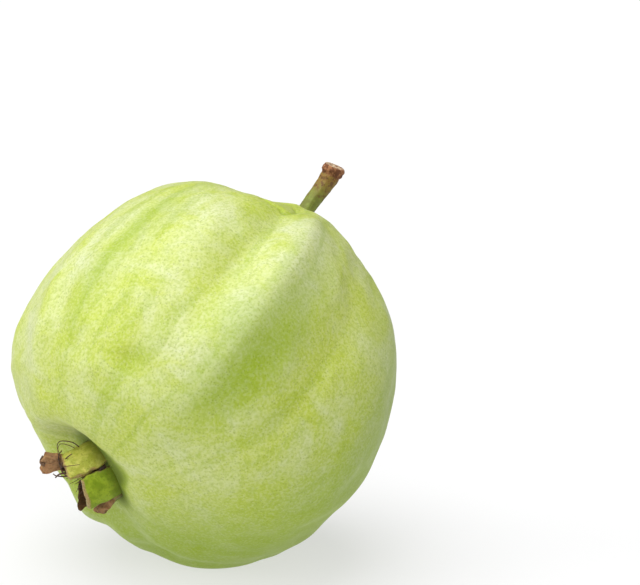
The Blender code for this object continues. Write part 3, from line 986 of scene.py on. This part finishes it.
def make_stalk():
    """The stalk with ribs, bark and a flared, cracked cut end."""
    path, shares, last = stalk_path()
    points = []
    edge = []
    share_list = []
    for ring, centre in enumerate(path):
        share, radius = shares[ring]
        ahead = path[min(ring + 1, len(path) - 1)] - path[max(ring - 1, 0)]
        closing = ring >= len(path) - STALK_CUT_RINGS
        stride = np.linalg.norm(ahead)
        tangent = last if closing or stride < 1e-6 else ahead / stride
        across, over = axes_round(tangent)
        for side in range(STALK_SIDES):
            turn = 2.0 * math.pi * side / STALK_SIDES
            way = math.cos(turn) * across + math.sin(turn) * over
            points.append(centre + radius * stalk_relief(turn, share) * way)
            share_list.append(share)
            edge.append(1.0 if closing else 0.0)
    points.append(path[0])
    points.append(path[-1])
    share_list += [0.0, shares[-1][0]]
    edge += [0.0, 1.0]
    mesh = mesh_from("stalk_fine", points, tube_faces(len(path), STALK_SIDES))
    add_attribute(mesh, "share", share_list)
    add_attribute(mesh, "edge", edge)
    stalk = new_object("stalk_fine", mesh)
    mesh.materials.append(stalk_material())
    ride_and_stand_for(stalk, "stalk", "stalk")


def sepal_section(share, row):
    """Width and thickness of a sepal at a share of its length."""
    root_width, middle_width, tip_width, root_thick, tip_thick = row[3:8]
    rise = smooth_step(share / SEPAL_MIDDLE_AT)
    fall = smooth_step((share - SEPAL_MIDDLE_AT) / (1.0 - SEPAL_MIDDLE_AT))
    width = root_width + (middle_width - root_width) * rise + (tip_width - middle_width) * fall
    thick = root_thick + (tip_thick - root_thick) * smooth_step(share)
    return width, thick


def sepal_spine(share, row):
    """Distance from the calyx axis, height, and lean of a sepal's middle line."""
    length, lean, curl = row[2], row[8], row[9]
    reach = SEPAL_ROOT_RADIUS
    height = 0.0
    stride = share * length / SEPAL_SPINE_STEPS
    for step in range(SEPAL_SPINE_STEPS):
        along = share * (step + 0.5) / SEPAL_SPINE_STEPS
        angle = math.radians(lean + curl * along ** 2)
        reach += math.sin(angle) * stride
        height += math.cos(angle) * stride
    return reach, height, math.radians(lean + curl * share ** 2)


def sepal_turns(share, row):
    """Sweep round the calyx, rise of a margin and twist at a share of a sepal."""
    sweep, slant, twist = row[10:13]
    grown = smooth_step(share)
    turned = smooth_step((share - SEPAL_TWIST_FROM) / (1.0 - SEPAL_TWIST_FROM))
    return math.radians(sweep) * grown, slant * grown, math.radians(twist) * turned


def make_sepal(row, material, crumple):
    """One sepal as a fine rounded block, with wavering margins."""
    root, axis = calyx_root()
    front, side = axes_round(axis)
    bearing = math.radians(row[1])
    out = math.cos(bearing) * front + math.sin(bearing) * side
    over = np.cross(axis, out)
    bm = bmesh.new()
    bmesh.ops.create_cube(bm, size=2.0)
    bmesh.ops.subdivide_edges(bm, edges=bm.edges[:], cuts=SEPAL_CUTS, use_grid_fill=True)
    share_list = []
    edge_list = []
    for vert in bm.verts:
        box = vert.co.copy()
        ball = box.normalized() * max(abs(box.x), abs(box.y), abs(box.z))
        soft = box.lerp(ball, SEPAL_TIP_ROUNDING if box.z > 0.0 else SEPAL_ROOT_ROUNDING)
        share = (soft.z + 1.0) / 2.0
        width, thick = sepal_section(share, row)
        seed = Vector((soft.x * 1.4, soft.y * 0.5, share * 3.0 + row[1]))
        ragged = 1.0 + crumple * SEPAL_RAGGEDNESS * noise.noise(seed * 1.7)
        wave = crumple * share * SEPAL_WAVE * noise.noise(seed)
        reach, height, lean = sepal_spine(share, row)
        seed = Vector((soft.x * 2.5, 3.0, row[1]))
        height += crumple * SEPAL_BUCKLE * share * noise.noise(seed)
        sweep, slant, twist = sepal_turns(share, row)
        wide = soft.x * width * ragged / 2.0
        deep = soft.y * thick / 2.0 + wave
        swing = (wide * math.cos(twist) - deep * math.sin(twist)) / SEPAL_ROOT_RADIUS + sweep
        depth = wide * math.sin(twist) + deep * math.cos(twist)
        radius = reach + depth * math.cos(lean)
        root_sink = SEPAL_SINK * (1.0 - smooth_step(share / 0.3))
        rise = height - depth * math.sin(lean) + slant * soft.x + SEPAL_GAP - root_sink
        vert.co = (root + radius * (math.cos(swing) * out + math.sin(swing) * over)
                   + rise * axis) * MM
        share_list.append(share)
        edge_list.append(max(abs(soft.x) * 0.93, 2.0 * share - 1.0))
    mesh = bpy.data.meshes.new(row[0] + "_fine")
    bmesh.ops.recalc_face_normals(bm, faces=bm.faces)
    bm.to_mesh(mesh)
    bm.free()
    add_attribute(mesh, "share", share_list)
    add_attribute(mesh, "edge", edge_list)
    sepal = new_object(row[0] + "_fine", mesh)
    mesh.materials.append(material)
    ride_and_stand_for(sepal, "sepal", row[0])


def loose_path(marks, root, axis, front, side):
    """Smooth path through points given round the calyx."""
    marks = np.array(marks, dtype=float)
    turn = np.radians(marks[:, 0])
    corners = (root + (marks[:, 1] * np.cos(turn))[:, None] * front
               + (marks[:, 1] * np.sin(turn))[:, None] * side + marks[:, 2][:, None] * axis)
    ends = np.vstack((2.0 * corners[0] - corners[1], corners, 2.0 * corners[-1] - corners[-2]))
    path = []
    for a, b, c, d in zip(ends, ends[1:], ends[2:], ends[3:]):
        for share in np.linspace(0.0, 1.0, LOOSE_STEPS, endpoint=False):
            path.append(0.5 * (2.0 * b + (c - a) * share
                               + (2.0 * a - 5.0 * b + 4.0 * c - d) * share ** 2
                               + (3.0 * b - a - 3.0 * c + d) * share ** 3))
    path.append(corners[-1])
    return path


def make_stamens():
    """The tuft of dried threads and the floral disc they stand on."""
    root, axis = calyx_root()
    front, side = axes_round(axis)
    rng = random.Random(STAMEN_SEED)
    points = []
    faces = []

    def add_tube(path, radii, sides):
        first = len(points)
        points.extend(tube_points(path, radii, sides))
        faces.extend(tube_faces(len(path), sides, first))

    def add_thread(path, radius):
        radii = [radius * (1.0 - THREAD_TAPER * ring / len(path)) for ring in range(len(path))]
        add_tube(path, radii, THREAD_SIDES)

    for _ in range(STAMEN_COUNT):
        bearing = 2.0 * math.pi * rng.random()
        foot = rng.uniform(*STAMEN_FOOT)
        length = rng.uniform(*STAMEN_LENGTH)
        bend = math.radians(rng.uniform(*STAMEN_BEND))
        swirl = math.radians(rng.uniform(*STAMEN_SWIRL))
        out = math.cos(bearing) * front + math.sin(bearing) * side
        path = [root + foot * out]
        for step in range(STAMEN_STEPS):
            share = (step + 0.5) / STAMEN_STEPS
            turned = bearing + swirl * share
            out = math.cos(turned) * front + math.sin(turned) * side
            way = math.cos(bend * share) * axis + math.sin(bend * share) * out
            path.append(path[-1] + way * length / STAMEN_STEPS)
        add_thread(path, STAMEN_RADIUS)
    for radius, marks in LOOSE_THREADS:
        add_thread(loose_path(marks, root, axis, front, side), radius)
    add_tube([root + height * axis for height in DISC_HEIGHTS], DISC_RADII, DISC_SIDES)
    mesh = mesh_from("stamens_fine", points, faces)
    stamens = new_object("stamens_fine", mesh)
    mesh.materials.append(thread_material())
    ride_and_stand_for(stamens, "dried", "stamens")


# Stage

def camera_axes():
    """Forward, right and up of the camera."""
    drop = math.radians(CAMERA_DROP)
    forward = np.array((0.0, math.cos(drop), -math.sin(drop)))
    right = np.array((1.0, 0.0, 0.0))
    return forward, right, np.cross(right, forward)


def make_camera():
    """Camera at the photograph's viewing angle."""
    forward, right, up = camera_axes()
    focal = CAMERA_DISTANCE / MM_PER_PIXEL
    aside = (MIDDLE_PIXEL[0] - IMAGE_WIDTH / 2.0) / focal
    above = -(MIDDLE_PIXEL[1] - IMAGE_HEIGHT / 2.0) / focal
    ray = forward + aside * right + above * up
    data = bpy.data.cameras.new("camera")
    data.sensor_width = SENSOR_WIDTH
    data.lens = focal / IMAGE_WIDTH * SENSOR_WIDTH
    data.clip_start = NEAR_CLIP
    data.clip_end = FAR_CLIP
    camera = bpy.data.objects.new("camera", data)
    bpy.context.scene.collection.objects.link(camera)
    camera.location = Vector((FRUIT_MIDDLE - ray * CAMERA_DISTANCE) * MM)
    camera.rotation_mode = "QUATERNION"
    camera.rotation_quaternion = Vector(forward).to_track_quat("-Z", "Y")
    bpy.context.scene.camera = camera


def add_light(name, way, power, spread):
    """Even light from far off, as wide as a large softbox."""
    data = bpy.data.lights.new(name, "SUN")
    data.energy = power
    data.angle = math.radians(spread)
    light = bpy.data.objects.new(name, data)
    bpy.context.scene.collection.objects.link(light)
    light.rotation_mode = "QUATERNION"
    light.rotation_quaternion = Vector(way).to_track_quat("Z", "Y")


def make_stage():
    """Pale floor, soft lights and a pale surround."""
    bpy.ops.mesh.primitive_plane_add(size=FLOOR_SIZE, location=(0.0, 0.0, 0.0))
    floor = bpy.context.object
    floor.name = "floor"
    floor.data.materials.append(floor_material())
    for name, way, power, spread in LIGHTS:
        add_light(name, way, power, spread)
    world = bpy.data.worlds.new("surround")
    world.use_nodes = True
    background = world.node_tree.nodes["Background"]
    background.inputs["Color"].default_value = WHITE
    background.inputs["Strength"].default_value = SURROUND
    bpy.context.scene.world = world
    bpy.context.scene.view_settings.view_transform = "Standard"


make_camera()
make_stage()
make_fruit()
make_stalk()
for row in SEPALS:
    fleshy, dried, dried_from, crumple = SEPAL_LOOKS[row[0]]
    make_sepal(row, sepal_material(row[0] + "_look", fleshy, dried, dried_from), crumple)
make_stamens()
